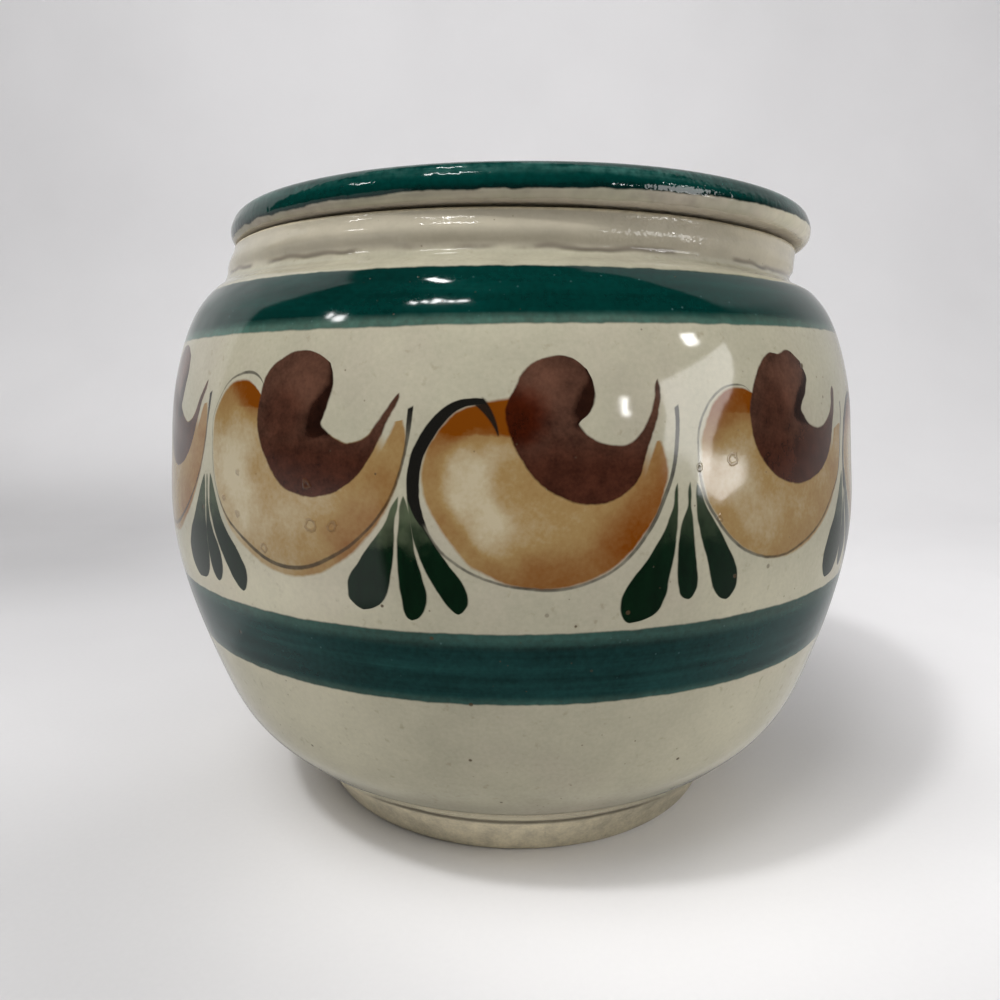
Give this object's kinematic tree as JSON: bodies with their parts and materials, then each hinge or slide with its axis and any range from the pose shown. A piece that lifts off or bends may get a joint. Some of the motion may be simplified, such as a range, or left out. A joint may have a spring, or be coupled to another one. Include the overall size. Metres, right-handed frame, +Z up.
{
  "type": "olive jar",
  "caption": "Round-bellied stoneware jar on a turned foot ring, with a wide low neck and a loose flat lid that locates in the mouth.",
  "frame": {"origin": "middle of the foot ring's bearing face", "axes": "+Z up along the axis the jar was thrown on, +X to the right and -Y towards the camera of the picture"},
  "size_m": [0.1398, 0.1398, 0.1182],
  "materials": {
    "jar_glaze": "glossy clear glaze over cream slip with painted bands and figures, bare clay foot",
    "lid_glaze": "glossy dark green glaze, bare cream clay underneath"
  },
  "bodies": {
    "jar": {"jar": "jar_glaze"},
    "lid": {"lid": "lid_glaze"}
  },
  "joints": [
    {"name": "lid_lift", "type": "slide", "parent": "jar", "child": "lid", "axis": [0, 0, 1], "range_m": [0, 0.08]}
  ]
}
